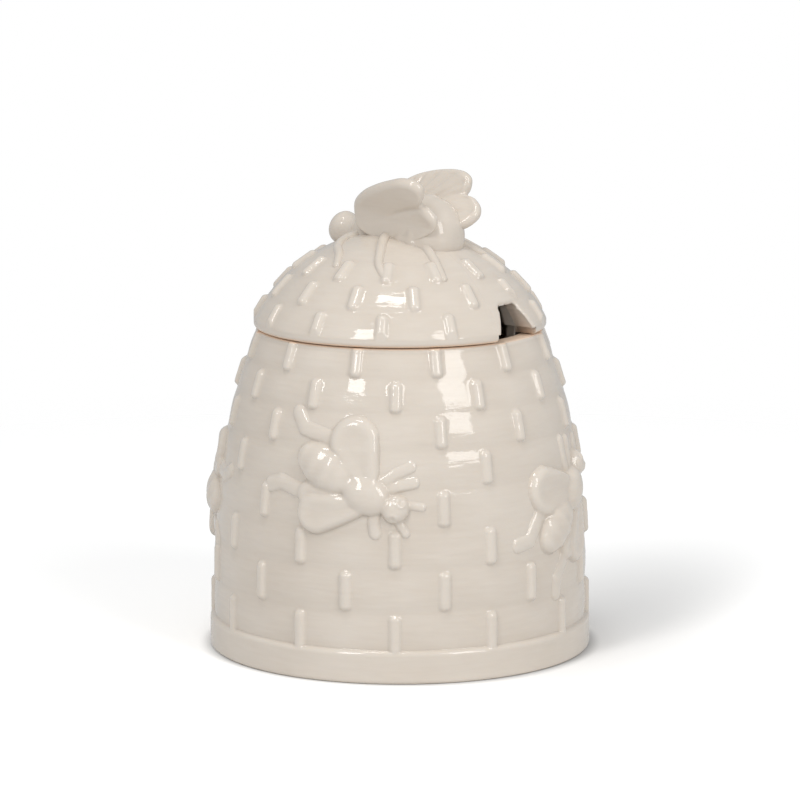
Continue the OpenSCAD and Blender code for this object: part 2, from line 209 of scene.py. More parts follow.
def cavity(height, reach_rows, reach_columns):
    """How far each point of a closed grid lies below its surroundings: the mean of a box of rows and columns
    round it, taken twice, less its own height."""
    mean = height.astype(float)
    for _ in range(2):
        around = range(-reach_columns, reach_columns + 1)
        mean = sum(np.roll(mean, s, 1) for s in around) / (2 * reach_columns + 1)
        padded = np.pad(mean, ((reach_rows, reach_rows), (0, 0)), mode="edge")
        mean = sum(padded[s:s + len(mean)] for s in range(2 * reach_rows + 1)) / (2 * reach_rows + 1)
    return mean - height


def add_node(tree, kind, sockets=None, **settings):
    """New shader node: first its settings, then the values on its sockets by name or number."""
    made = tree.nodes.new(kind)
    for key, value in settings.items():
        setattr(made, key, value)
    for key, value in (sockets or {}).items():
        made.inputs[key].default_value = value
    return made


def map_range(tree, source, from_range, to_range, curve="LINEAR"):
    """Output that carries a value from one range to another, held at both ends."""
    made = add_node(tree, "ShaderNodeMapRange", {
        "From Min": from_range[0], "From Max": from_range[1], "To Min": to_range[0], "To Max": to_range[1]},
        interpolation_type=curve)
    tree.links.new(source, made.inputs["Value"])
    return made.outputs["Result"]


def reckon(tree, operation, *values):
    """Output of a sum, product or quotient of numbers and other outputs."""
    made = add_node(tree, "ShaderNodeMath", operation=operation)
    for socket, value in zip(made.inputs, values):
        if isinstance(value, float):
            socket.default_value = value
        else:
            tree.links.new(value, socket)
    return made.outputs["Value"]


def glaze_material(name):
    """Warm ivory glaze: thicker and browner where it pools in grooves, and there also darker with painted shade;
    thin and pale on ridges, and there also paler with a painted highlight; with faint clouds of tone, fine
    ripples along the straws and bare biscuit where the note bare says so."""
    thin_glaze, mid_glaze = (0.695, 0.632, 0.562, 1), (0.63, 0.56, 0.485, 1)
    thick_glaze_and_shade, biscuit_clay = (0.48, 0.40, 0.315, 1), (0.78, 0.60, 0.46, 1)
    glaze_roughness, biscuit_roughness = 0.05, 0.6
    fullest = 1.5
    material = bpy.data.materials.new(name)
    material.use_nodes = True
    tree = material.node_tree
    links = tree.links
    shader = tree.nodes["Principled BSDF"]

    place = add_node(tree, "ShaderNodeTexCoord")
    stretched = add_node(tree, "ShaderNodeMapping", {"Scale": (1.0, 1.0, 7.0)})
    links.new(place.outputs["Object"], stretched.inputs["Vector"])
    clouds = add_node(tree, "ShaderNodeTexNoise", {"Scale": 38, "Detail": 3})
    links.new(place.outputs["Object"], clouds.inputs["Vector"])
    streaks = add_node(tree, "ShaderNodeTexNoise", {"Scale": 130, "Detail": 4})
    links.new(stretched.outputs["Vector"], streaks.inputs["Vector"])

    # how thick the glaze lies: in grooves, in clouds and in streaks, together from 0 to 1.5; the share from the
    # note groove is also painted shade in grooves and a painted highlight on ridges
    groove = add_node(tree, "ShaderNodeAttribute", attribute_name="groove")
    pooling_and_painted_shade = map_range(tree, groove.outputs["Fac"], (-0.35, 0.55), (0.0, 0.42))
    clouded = reckon(tree, "MULTIPLY_ADD", clouds.outputs["Fac"], 0.55, pooling_and_painted_shade)
    streaked = reckon(tree, "MULTIPLY_ADD", streaks.outputs["Fac"], 0.35, clouded)
    # the ramp's thick end is also the colour of the painted shade in grooves
    tone = add_node(tree, "ShaderNodeValToRGB")
    ramp = tone.color_ramp
    ramp.elements[0].position, ramp.elements[1].position = 0.3, 1.35 / fullest
    ramp.elements[0].color, ramp.elements[1].color = thin_glaze, thick_glaze_and_shade
    ramp.elements.new(0.6).color = mid_glaze
    links.new(reckon(tree, "DIVIDE", streaked, fullest), tone.inputs["Fac"])

    bare = add_node(tree, "ShaderNodeAttribute", attribute_name="bare")
    biscuit = add_node(tree, "ShaderNodeMix", {"B": biscuit_clay}, data_type="RGBA")
    links.new(bare.outputs["Fac"], biscuit.inputs["Factor"])
    links.new(tone.outputs["Color"], biscuit.inputs["A"])
    links.new(biscuit.outputs["Result"], shader.inputs["Base Color"])
    rough = map_range(tree, bare.outputs["Fac"], (0.0, 1.0), (glaze_roughness, biscuit_roughness))
    links.new(rough, shader.inputs["Roughness"])

    ripple = add_node(tree, "ShaderNodeBump", {"Strength": 0.12, "Distance": 0.0004})
    links.new(streaks.outputs["Fac"], ripple.inputs["Height"])
    links.new(ripple.outputs["Normal"], shader.inputs["Normal"])
    shader.inputs["IOR"].default_value = 1.52
    shader.inputs["Subsurface Weight"].default_value = 0.08
    shader.inputs["Subsurface Radius"].default_value = (1.0, 0.7, 0.45)
    shader.inputs["Subsurface Scale"].default_value = 0.0012
    return material


ivory_glaze = glaze_material("ivory_glaze")

# columns stand close together over the straps, and rows over the round top of the foot band
slots = 2 * POT_STRAPS
dense, plain = np.linspace(-2.5, 2.5, 11)[:-1], np.linspace(2.5, 360 / slots - 2.5, 7)[:-1]
pot_az = (POT_STRAP_AZ + np.arange(slots)[:, None] * 360 / slots + np.concatenate([dense, plain])).ravel()
wall_z = np.concatenate([
    np.linspace(FOOT_LOW_ROUND, BAND_ROWS_FROM, 8)[:-1], np.linspace(BAND_ROWS_FROM, WALL_ROWS_FROM, 18)[:-1],
    np.linspace(WALL_ROWS_FROM, POT_H - LIP_ROUND, WALL_ROWS)])
grid_az, grid_z = np.meshgrid(pot_az, wall_z)
relief = wall_height(grid_az, grid_z)
wall_skin = skin_r(grid_az, grid_z, relief)
foot_r = BODY_R + FOOT_STEP
above = np.maximum(0, grid_z - (FOOT_H - FOOT_TOP_ROUND))
band = foot_r - FOOT_TOP_ROUND + np.sqrt(np.maximum(0, FOOT_TOP_ROUND ** 2 - above ** 2))
band = np.where(above < FOOT_TOP_ROUND, band, 0) + 0.03 * uneven(grid_az / 15 % 24, grid_z / 3, 24, 40, 14)
wall_skin = smooth_max(wall_skin, band, 0.35)


def quarter(start, end, count, round_r):
    """Angles' cosines and sines times a radius, from one angle to another in degrees."""
    a = np.radians(np.linspace(start, end, count))
    return round_r * np.cos(a), round_r * np.sin(a)


pot_rows, pot_bare = [], []


def add_row(r, z, bare=0.0):
    """The pot's next row: its radius and height for every column, and how bare of glaze it is."""
    pot_rows.append((np.broadcast_to(r, pot_az.shape), np.broadcast_to(z, pot_az.shape)))
    pot_bare.append(bare)


# rows in turn: the recess under the pot, the standing ring, up the outside, over the rim and down the inside
ring_in = foot_r - FOOT_RING_W
for r, z in ((15, FOOT_RECESS), (35, FOOT_RECESS), (ring_in - 2.2, FOOT_RECESS),
             (ring_in - 1, FOOT_RECESS - 0.1), (ring_in - 0.2, FOOT_RECESS * 0.6), (ring_in + 0.3, 0.25)):
    add_row(r, z, 0.2)
for r in np.linspace(ring_in + 0.9, foot_r - FOOT_LOW_ROUND - 0.3, 5):
    add_row(r, 0.0, 1.0)
for c, s in zip(*quarter(-80, -10, 6, FOOT_LOW_ROUND)):
    add_row(foot_r - FOOT_LOW_ROUND + c, FOOT_LOW_ROUND + s, 0.3 if s < -0.8 else 0.0)
first_wall = len(pot_rows)
for r, z in zip(wall_skin, wall_z):
    add_row(r, z)
rim_edge = wall_skin[-1] - LIP_ROUND
for c, s in zip(*quarter(15, 90, 6, LIP_ROUND)):
    add_row(rim_edge + c, POT_H - LIP_ROUND + s, 0.0 if s < 1.0 else 0.9)
MOUTH_R, MOUTH_ROUND = RIM_R - WALL, 0.9
for share in (0.3, 0.6, 0.85):
    add_row(rim_edge * (1 - share) + (MOUTH_R + MOUTH_ROUND) * share, POT_H, 1.0)
for c, s in zip(*quarter(90, 180, 6, MOUTH_ROUND)):
    add_row(MOUTH_R + MOUTH_ROUND + c, POT_H - MOUTH_ROUND + s, 0.8 if s > 0.6 else 0.0)
for z in np.linspace(POT_H - 3, FLOOR_T + FLOOR_ROUND, 22):
    add_row(wall_r(z) - WALL, z)
inner_r = BODY_R - WALL
for c, s in zip(*quarter(-8, -82, 9, FLOOR_ROUND)):
    add_row(inner_r - FLOOR_ROUND + c, FLOOR_T + FLOOR_ROUND + s)
for r in (inner_r - FLOOR_ROUND, 25, 12, 4):
    add_row(r, FLOOR_T)

radii, heights = (np.array(a) for a in zip(*pot_rows))
rings = ring_points(pot_az[None, :], radii, heights)
pot_points = np.concatenate([[[0, 0, FOOT_RECESS]], rings.reshape(-1, 3), [[0, 0, FLOOR_T]]])
# how deep each point of the wall lies in a groove: the glaze colour is darker there with glaze pooling and
# painted shade, and paler on ridges with a painted highlight
groove = np.zeros(radii.shape)
groove[first_wall:first_wall + len(wall_z)] = cavity(wall_skin - wall_r(grid_z), 6, 5)
groove = np.concatenate([[0], groove.ravel(), [0]])
bare = np.concatenate([[0.2], np.repeat(pot_bare, len(pot_az)), [0]])
make_piece("pot_wall_glazed", pot_points, turned_faces(len(pot_rows), len(pot_az)), "pot", ivory_glaze,
           "pot_wall", groove, bare)

# --- The bees on the pot's wall ---
# Each is part of the same casting: a plump body, two pairs of petal wings and bent legs in low relief.
# A bee is a patch of the wall's skin raised by its own height, cut where it sinks back into the wall.

BEE_STEP = 0.3
BEE_X, BEE_Y = (-29.0, 25.0), (-22.0, 22.0)
BEE_BACK, BEE_SHOWN = 1.6, -0.12
PETAL_EDGE, FALL_OFF = 2.2, 1.5


def dome_over(x, y, centre, reach, height):
    """Height of half an egg over its oval: height times the root of one less the square of the share of its
    reach, and outside the oval a slope that falls away."""
    share = np.hypot((x - centre[0]) / reach[0], (y - centre[1]) / reach[1])
    egg = height * np.sqrt(np.maximum(0, 1 - share ** 2))
    return np.where(share < 1, egg, (1 - share) * min(reach) * FALL_OFF)


def line_distance(x, y, a, b):
    """Distance to a straight piece from a to b, and how far along it the nearest point lies, from 0 to 1."""
    dx, dy = b[0] - a[0], b[1] - a[1]
    t = np.clip(((x - a[0]) * dx + (y - a[1]) * dy) / (dx * dx + dy * dy), 0, 1)
    return np.hypot(x - a[0] - t * dx, y - a[1] - t * dy), t


def petal(x, y, root, tip, root_w, tip_w, height):
    """Height of a petal: its half-width grows from root to tip, its edge is round, its middle a little slack."""
    distance, t = line_distance(x, y, root, tip)
    inside = root_w + (tip_w - root_w) * t ** 0.8 - distance
    edge = np.clip(inside / PETAL_EDGE, 0, 1)
    crown = np.sqrt(np.maximum(0, 1 - (1 - edge) ** 2))
    slack = 0.3 * ease(1.8, 5.5, inside)
    return np.where(inside > 0, (height - slack) * crown, inside * FALL_OFF)


def ridge(x, y, path, width, height):
    """Height of a bent round ridge along a path, such as a leg or a feeler."""
    total = np.full(x.shape, -9.0)
    for a, b in zip(path[:-1], path[1:]):
        distance, _ = line_distance(x, y, a, b)
        piece = np.where(distance < width, height * np.sqrt(np.maximum(0, 1 - (distance / width) ** 2)),
                         (width - distance) * FALL_OFF)
        total = smooth_max(total, piece, 0.3)
    return total


def wall_bee_height(x, y):
    """Height of a wall bee over the wall: its parts' heights, each crossing rounded as glaze rounds it, and
    for each eye a ring raised round a hollow."""
    rings_on_tail = 0.12 * np.sin((x + 17) * 1.45) * ease(-1, -6, x)
    body = dome_over(x, y, (-8.2, 0.2), (9.4, 5.8), 3.1) + rings_on_tail
    body = smooth_max(body, dome_over(x, y, (5.0, -0.4), (7.0, 5.2), 3.2), 1.2)
    body = smooth_max(body, dome_over(x, y, (13.8, 0.0), (3.9, 3.8), 2.7), 0.9)
    wings = petal(x, y, (4.7, 1.8), (-4.6, 10.2), 2.6, 6.9, 1.9)
    wings = smooth_max(wings, petal(x, y, (2.0, -4.2), (-8.8, -8.4), 1.6, 3.8, 1.4), 0.5)
    wings = smooth_max(wings, petal(x, y, (5.8, -3.0), (-4.8, -11.6), 2.4, 5.8, 1.8), 0.5)
    total = smooth_max(body, wings, 0.8)
    # two hind legs, three front legs and two feelers
    for path, width, height in (
            ([(-8.5, 5.2), (-11.8, 7.6), (-19.2, 5.9), (-23.0, 8.2)], 2.0, 0.62),
            ([(-9.5, -8.5), (-13.5, -9.6), (-18.7, -10.6), (-21.6, -13.6)], 2.0, 0.62),
            ([(6.5, 3.0), (9.2, 8.0), (12.2, 11.6)], 1.5, 0.62),
            ([(9.0, 2.6), (12.0, 6.0), (15.0, 8.4)], 1.5, 0.62),
            ([(9.0, -2.6), (10.5, -6.0), (12.4, -8.4)], 1.5, 0.62),
            ([(15.4, 2.0), (18.2, 3.0), (20.2, 3.6)], 1.1, 0.6),
            ([(15.4, -2.0), (18.0, -3.6), (19.6, -4.6)], 1.1, 0.6)):
        total = smooth_max(total, ridge(x, y, path, width, height), 0.9)
    for side in (-1, 1):
        eye = np.hypot(x - 14.4, y - side * 2.6)
        total = total + 0.34 * np.exp(-((eye - 1.2) / 0.45) ** 2) - 0.2 * np.exp(-(eye / 0.6) ** 2)
    return total


def wall_bee(name, bee, node):
    """A bee's patch: the wall's skin raised by the bee's height, kept where it stands out, with a back in
    the wall and a side along every open edge."""
    bee_az, bee_z, heading = bee
    turn = math.radians(heading)
    x, y = np.meshgrid(np.arange(*BEE_X, BEE_STEP), np.arange(*BEE_Y, BEE_STEP))
    along, up = x * math.cos(turn) - y * math.sin(turn), x * math.sin(turn) + y * math.cos(turn)
    z = bee_z + up
    az = bee_az + np.degrees(along / wall_r(z))
    _, coil_along, chord, _, _ = coil_place(z)
    skin = coil_bulge(coil_along, chord)
    raised = smooth_max(wall_bee_height(x, y) + COIL_BULGE / 2 - skin, 0 * x, 0.7)
    sunk = -0.16 * np.exp(-raised / 0.06)
    height = skin + raised + sunk + straw(az, z) * 0.5 * ease(1.2, 0.1, raised)
    front = ring_points(az, skin_r(az, z, height), z)
    back = ring_points(az, skin_r(az, z, skin - BEE_BACK), z)
    shown = raised + sunk > BEE_SHOWN
    cells = shown[:-1, :-1] | shown[1:, :-1] | shown[:-1, 1:] | shown[1:, 1:]
    index = np.arange(x.size).reshape(x.shape)
    quads = np.stack([index[:-1, :-1], index[:-1, 1:], index[1:, 1:], index[1:, :-1]], -1)
    faces = [quads[cells], quads[cells][:, ::-1] + x.size]
    fenced = np.pad(cells, 1)
    for side, (a, b) in {(0, -1): (3, 0), (0, 1): (1, 2), (-1, 0): (0, 1), (1, 0): (2, 3)}.items():
        beyond = fenced[1 + side[0]:fenced.shape[0] - 1 + side[0], 1 + side[1]:fenced.shape[1] - 1 + side[1]]
        edge = cells & ~beyond
        p, q = quads[edge][:, a], quads[edge][:, b]
        faces.append(np.stack([q, p, p + x.size, q + x.size], -1))
    used = np.unique(np.concatenate([f.ravel() for f in faces]))
    renumber = np.zeros(2 * x.size, int)
    renumber[used] = np.arange(len(used))
    points = np.concatenate([front.reshape(-1, 3), back.reshape(-1, 3)])[used]
    # painted shade: the glaze colour is darker in the bee's creases and round its edges where it meets the wall,
    # as well as from glaze pooling
    crease_shade = np.concatenate([cavity(height, 5, 5).ravel(), np.zeros(x.size)])[used]
    make_piece(name, points, [renumber[f] for f in faces], "pot", ivory_glaze, node, crease_shade, 0 * crease_shade)


for bee_name, bee in (("front", FRONT_BEE), ("right", RIGHT_BEE), ("back", BACK_BEE), ("left", LEFT_BEE)):
    wall_bee(f"{bee_name}_bee_relief", bee, f"{bee_name}_bee")

# --- The lid's dome ---
# A second casting: three coils with straps, an upright lip, and below it a flange that drops into the
# pot's mouth. The spoon notch was cut in the leather-hard clay and its edge sponged round.

SEAT_GAP, LIP_H, DOME_R, LID_R, DOME_WALL = 0.3, 2.1, 46.1, 41.0, 4.5
LID_COILS, LID_COIL_LEN, LID_STRAPS, LID_STRAP_AZ = 3, 9.2, 13, -7.3
FLANGE_H, FLANGE_T, FLANGE_GAP, FLANGE_TOP_ROUND, FLANGE_ROUND = 5.0, 3.0, 1.0, 0.3, 0.8
NOTCH_AZ, NOTCH_W, NOTCH_TOP_W, NOTCH_H, NOTCH_ROUND = 54.0, 18.2, 9.0, 9.4, 1.8
LID_Z = POT_H + SEAT_GAP
DOME_Z = LID_Z + LIP_H - math.sqrt(DOME_R ** 2 - LID_R ** 2)
APEX_Z = DOME_Z + DOME_R
FLANGE_R = MOUTH_R - FLANGE_GAP
FLANGE_IN = FLANGE_R - FLANGE_T
FIRST_COIL_ANGLE = math.degrees(math.asin((LID_Z + LIP_H / 2 - DOME_Z) / DOME_R))
COIL_ANGLE = 2 * math.degrees(math.asin(LID_COIL_LEN / 2 / DOME_R))
NOTCH_EDGE = 1.0
OUTER_ROWS, TOP_ANGLE = 122, 88.6


def notch_gap(az, r, z):
    """Distance from the skin to the notch's outline, seen square to the notch's middle: that to its sloping
    side, its round corner or its flat top, and negative inside it."""
    off = np.radians(angle_gap(az, NOTCH_AZ))
    w, over = np.abs(r * np.sin(off)), z - LID_Z
    slope = (NOTCH_H - NOTCH_ROUND) / ((NOTCH_W - NOTCH_TOP_W) / 2)
    side = (w - NOTCH_W / 2 + over / slope) * slope / math.hypot(1, slope)
    qx, qz = w - NOTCH_TOP_W / 2 + NOTCH_ROUND, over - NOTCH_H + NOTCH_ROUND
    corner = np.hypot(np.maximum(qx, 0), np.maximum(qz, 0)) - NOTCH_ROUND
    gap = np.where((qx > 0) & (qz > 0), corner, np.maximum(side, over - NOTCH_H))
    return np.where(np.cos(off) > 0, gap, 99.0)


def lid_height(az, angle):
    """Height of the lid's skin over its ball at an angle above the equator: coils, straps and straws."""
    place = (angle - FIRST_COIL_ANGLE) / COIL_ANGLE
    k = np.clip(np.floor(place), 0, LID_COILS - 1)
    along = (place - k - 0.5) * LID_COIL_LEN
    sag = DOME_R * (1 - math.cos(math.radians(COIL_ANGLE / 2)))
    chord_drop = sag * (1 - (2 * along / LID_COIL_LEN) ** 2)
    in_coils = (place >= 0) & (place <= LID_COILS)
    coil = np.where(in_coils, coil_bulge(along, LID_COIL_LEN) - chord_drop, 0.0)
    step = 360 / LID_STRAPS
    near = np.round((az - LID_STRAP_AZ) / step - (k % 2) / 2) + (k % 2) / 2
    across = angle_gap(az, LID_STRAP_AZ + near * step) * math.pi / 180 * DOME_R * np.cos(np.radians(angle))
    bar = strap_height(across, along, LID_COIL_LEN - STRAP_GAP) - chord_drop
    bar = np.where(in_coils, bar, NO_STRAP)
    a = np.radians(angle)
    bar = bar - 2.5 * ease(3.2, 1.2, notch_gap(az, DOME_R * np.cos(a), DOME_Z + DOME_R * np.sin(a)))
    smooth_top = smooth_max(coil, bar, 0.5)
    straws = straw(az + 77, angle * DOME_R * math.pi / 180 + 20) * ease(84, 70, angle)
    return smooth_top + straws * ease(FIRST_COIL_ANGLE - 1, FIRST_COIL_ANGLE + 3, angle)


def notch_top(w):
    """Height of the notch's outline over the lip at a distance w to the side of its middle: a flat top,
    round corners and sides that slope out to the lip."""
    w = np.abs(w)
    half, half_top = NOTCH_W / 2, NOTCH_TOP_W / 2
    corner = np.sqrt(np.maximum(0, NOTCH_ROUND ** 2 - np.maximum(0, w - half_top + NOTCH_ROUND) ** 2))
    top = NOTCH_H - NOTCH_ROUND + corner
    side = (NOTCH_H - NOTCH_ROUND) * (half - w) / (half - half_top)
    return np.where(w <= half_top, top, np.where(w < half, side, 0.0))


half_notch = math.degrees(math.asin(NOTCH_W / 2 / LID_R))
lid_slots = 2 * LID_STRAPS
slot_w = 360 / lid_slots
lid_cols = np.concatenate([np.linspace(-3.2, 3.2, 11)[:-1], np.linspace(3.2, slot_w - 3.2, 6)[:-1]])
lid_az = (LID_STRAP_AZ + np.arange(lid_slots)[:, None] * slot_w + lid_cols).ravel()
off_notch = angle_gap(lid_az, NOTCH_AZ)
outside = np.degrees(np.arcsin(np.linspace(NOTCH_W / 2, NOTCH_W / 2 + 1.6, 7) / LID_R))
kept = np.sort(off_notch[np.abs(off_notch) > outside[-1] + 0.25])
notch_corner = NOTCH_TOP_W / 2 - NOTCH_ROUND + NOTCH_ROUND * np.sin(np.radians(np.linspace(-10, 88, 12)))
notch_side = np.linspace(NOTCH_TOP_W / 2 + 0.12, NOTCH_W / 2, 24)
notch_w = np.concatenate([np.linspace(0, 2.4, 5)[:-1], notch_corner, notch_side])
notch_w = np.unique(np.concatenate([-notch_w, notch_w]).round(5))
notch_z = notch_top(notch_w)
edge_r = np.sqrt(DOME_R ** 2 - (LID_Z + np.maximum(notch_z, LIP_H) - DOME_Z) ** 2)
edge_off = np.degrees(np.arcsin(notch_w / edge_r))
# columns in turn: the whole lid from one side of the notch round to the other, then across the notch
whole_off = np.concatenate([outside, kept[kept > 0], kept[kept < 0] + 360, 360 - outside[::-1]])
columns_off = np.concatenate([whole_off, edge_off + 360])
cut = np.concatenate([np.zeros(len(whole_off), bool), np.ones(len(edge_off), bool)])
cut_z = np.concatenate([np.zeros(len(whole_off)), notch_z])
cut_w = np.concatenate([np.zeros(len(whole_off)), notch_w])
lid_cols_az = NOTCH_AZ + columns_off

lip_angle = math.degrees(math.asin((LID_Z + LIP_H - DOME_Z) / DOME_R))
cut_angle = np.degrees(np.arcsin(np.clip((LID_Z + cut_z - DOME_Z) / DOME_R, -1, 1)))
lowest = np.where(cut & (cut_z > LIP_H), cut_angle, lip_angle)
share = np.linspace(0, 1, OUTER_ROWS)[:, None]
angle = TOP_ANGLE + (lowest[None, :] - TOP_ANGLE) * share
az2 = np.broadcast_to(lid_cols_az[None, :], angle.shape)
height = lid_height(az2, angle)
ball = DOME_R + height
r_out, z_out = ball * np.cos(np.radians(angle)), DOME_Z + ball * np.sin(np.radians(angle))
r_out = np.minimum(r_out, LID_R + 0 * r_out)


def notch_curl(az, r, z):
    """How far the skin curls in at the notch: a quarter round over the first millimetre from the outline."""
    left = np.clip(1 - notch_gap(az, r, z) / NOTCH_EDGE, 0, 1)
    return NOTCH_EDGE * (1 - np.sqrt(1 - left ** 2))


curl = notch_curl(az2, r_out, z_out)
r_out, z_out = r_out - curl * np.cos(np.radians(angle)), z_out - curl * np.sin(np.radians(angle))
lid_rows = [(r_out[i], z_out[i], lid_cols_az) for i in range(OUTER_ROWS)]
lid_bare = [np.zeros(len(lid_cols_az))] * OUTER_ROWS

# the face cut through the thickness at the notch, and elsewhere the lip, its underside and the flange
last_r, last_z = r_out[-1], z_out[-1]
inside_off = np.degrees(np.arcsin(np.clip(cut_w / FLANGE_IN, -1, 1))) + 360
extra = math.degrees(math.asin(NOTCH_W / 2 / FLANGE_IN)) - half_notch
from_side = np.minimum(columns_off - half_notch, 360 - half_notch - columns_off)
shift = extra * np.clip(1 - from_side / 24, 0, 1) * np.where(columns_off < 180, 1, -1)
inner_az = NOTCH_AZ + np.where(cut, inside_off, columns_off + shift)


def lid_row(r, z, bare, cut_share):
    """The lid's next row: the given radius and height, or in the notch a share of the way through its cut."""
    r_cut = last_r + (FLANGE_IN - last_r) * cut_share
    z_cut = last_z + 0 * r_cut
    r_all, z_all = np.where(cut, r_cut, r), np.where(cut, z_cut, z)
    toward = np.clip((last_r - r_all) / (last_r - FLANGE_IN), 0, 1)
    w_az = NOTCH_AZ + 360 + np.degrees(np.arcsin(np.clip(cut_w / r_all, -1, 1)))
    az = np.where(cut, w_az, lid_cols_az + (inner_az - lid_cols_az) * toward)
    lid_rows.append((r_all, z_all, az))
    lid_bare.append(np.where(cut, bare * 0.25, bare) + 0 * r_all)


# rows in turn: down the lip, under it, down the flange's outside, up its inside and up under the dome
curl_r = curl[-1]
for z in np.linspace(LID_Z + LIP_H, LID_Z + LIP_ROUND, 4)[1:]:
    lid_row(LID_R - curl_r, z, 0.0, 0.0)
for c, s in zip(*quarter(-12, -90, 7, LIP_ROUND)):
    lid_row(LID_R - LIP_ROUND + c - curl_r, LID_Z + LIP_ROUND + s, 0.15 + 0.85 * (s < -0.7),
            0.1 * (-s / LIP_ROUND))
for share_in in (0.3, 0.65, 1.0):
    under_r = (LID_R - LIP_ROUND) * (1 - share_in) + (FLANGE_R + FLANGE_TOP_ROUND) * share_in
    lid_row(under_r, LID_Z, 1.0, 0.1 + 0.45 * share_in)
for c, s in zip(*quarter(90, 180, 3, FLANGE_TOP_ROUND)):
    lid_row(FLANGE_R + FLANGE_TOP_ROUND + c, LID_Z - FLANGE_TOP_ROUND + s, 0.3, 0.6)
for z in np.linspace(LID_Z - 1, LID_Z - FLANGE_H + FLANGE_ROUND, 4):
    lid_row(FLANGE_R, z, 0.0, 0.65)
for c, s in zip(*quarter(0, -90, 4, FLANGE_ROUND)):
    lid_row(FLANGE_R - FLANGE_ROUND + c, LID_Z - FLANGE_H + FLANGE_ROUND + s, 0.3, 0.7)
for c, s in zip(*quarter(-90, -180, 4, FLANGE_ROUND)):
    lid_row(FLANGE_IN + FLANGE_ROUND + c, LID_Z - FLANGE_H + FLANGE_ROUND + s, 0.3, 0.9)
inner_ball = DOME_R - DOME_WALL
join_z = DOME_Z + math.sqrt(inner_ball ** 2 - FLANGE_IN ** 2)
inner_low = np.where(cut, np.maximum(last_z, LID_Z), LID_Z - FLANGE_H + 2 * FLANGE_ROUND)
for t in np.linspace(0, 1, 7):
    z = inner_low + (join_z + 0.01 - inner_low) * t
    lid_rows.append((FLANGE_IN + 0 * z, z, inner_az))
    lid_bare.append(0 * z)
join_angle = math.degrees(math.asin((join_z - DOME_Z) / inner_ball))
for a in np.linspace(join_angle + 2, 86, 18):
    lid_rows.append((inner_ball * math.cos(math.radians(a)) + 0 * inner_az,
                     DOME_Z + inner_ball * math.sin(math.radians(a)) + 0 * inner_az, inner_az))
    lid_bare.append(0 * inner_az)

lid_r, lid_zs, lid_azs = (np.array(a) for a in zip(*lid_rows))
lid_rings = ring_points(lid_azs, lid_r, lid_zs)
# rows run from the top down the outside, so the faces are turned round to point outward
lid_points = np.concatenate([[[0, 0, APEX_Z]], lid_rings.reshape(-1, 3), [[0, 0, DOME_Z + inner_ball]]])
# how deep each point of the lid lies in a groove: the glaze colour is darker there with glaze pooling and painted
# shade, and paler on ridges with a painted highlight
lid_groove = np.zeros(lid_r.shape)
lid_groove[:OUTER_ROWS] = cavity(height, 6, 5)
# painted shade: the cut face of the notch is given a little groove depth, which makes its glaze colour a little
# darker
lid_groove[OUTER_ROWS:, cut] = 0.1
lid_faces = [f[:, ::-1] for f in turned_faces(len(lid_rows), len(lid_cols_az))]
make_piece("lid_dome_glazed", lid_points, lid_faces, "lid", ivory_glaze, "lid_dome",
           np.concatenate([[0], lid_groove.ravel(), [0]]), np.concatenate([[0], np.array(lid_bare).ravel(), [0]]))

# --- The bee on the lid ---
# The lid's knob: a plump bee modelled by hand and stuck on with slip, its wings raised and its legs laid
# out on the dome. Body, each pair of wings and the legs are separate sprigs, joined before glazing.

BEE_HEADING = 142.0
head_turn = math.radians(BEE_HEADING)


def bee_to_lid(f, s, z):
    """From the bee's own frame (forward, to its left, height over the dome's top) to the part's frame."""
    return np.stack([f * math.cos(head_turn) - s * math.sin(head_turn),
                     f * math.sin(head_turn) + s * math.cos(head_turn), APEX_Z + z], -1)


def dome_drop(f, s):
    """Depth of the dome's ball below its top."""
    return DOME_R - np.sqrt(np.maximum(1, DOME_R ** 2 - f * f - s * s))


# stations along the body: place forward, height of the middle, half-width, half-height
stations = np.array([
    (-20.0, -1.2, 0.0, 0.0), (-19.8, -1.2, 2.4, 2.4), (-18.9, -1.0, 4.9, 4.9), (-16.9, -0.5, 7.2, 7.4),
    (-13.8, 0.1, 8.8, 9.4), (-10.0, 0.4, 9.3, 10.2), (-6.0, 0.6, 9.0, 9.9), (-1.5, 0.4, 7.8, 8.8),
    (2.0, 0.2, 6.9, 7.9), (6.0, 0.2, 6.9, 7.6), (9.5, 0.0, 6.7, 7.2), (12.8, -0.8, 5.3, 5.4),
    (14.9, -1.6, 4.0, 4.0), (16.8, -1.5, 4.2, 4.3), (19.4, -1.2, 4.75, 4.8), (21.8, -1.4, 4.1, 4.2),
    (23.4, -1.8, 2.7, 2.8), (24.0, -2.0, 1.3, 1.3), (24.1, -2.0, 0.0, 0.0)])
steps = np.linspace(0, 1, 120)
run = np.concatenate([[0], np.cumsum(np.hypot(*np.diff(stations[:, [0, 3]], axis=0).T))])
run /= run[-1]


def smooth_through(values, length, at, closed=False):
    """Values, or rows of them, carried smoothly through stations at the given lengths, by a cubic whose
    slopes are the mean of its neighbours'. On a closed curve both ends take one slope."""
    slope = np.gradient(values, length, axis=0)
    if closed:
        slope[0] = slope[-1] = (slope[0] + slope[-1]) / 2
    i = np.clip(np.searchsorted(length, at, side="right") - 1, 0, len(length) - 2)
    upright = (-1,) + (1,) * (values.ndim - 1)
    d = (length[i + 1] - length[i]).reshape(upright)
    t = (at - length[i]).reshape(upright) / d
    return ((2 * t ** 3 - 3 * t ** 2 + 1) * values[i] + (t ** 3 - 2 * t ** 2 + t) * d * slope[i]
            + (3 * t ** 2 - 2 * t ** 3) * values[i + 1] + (t ** 3 - t ** 2) * d * slope[i + 1])


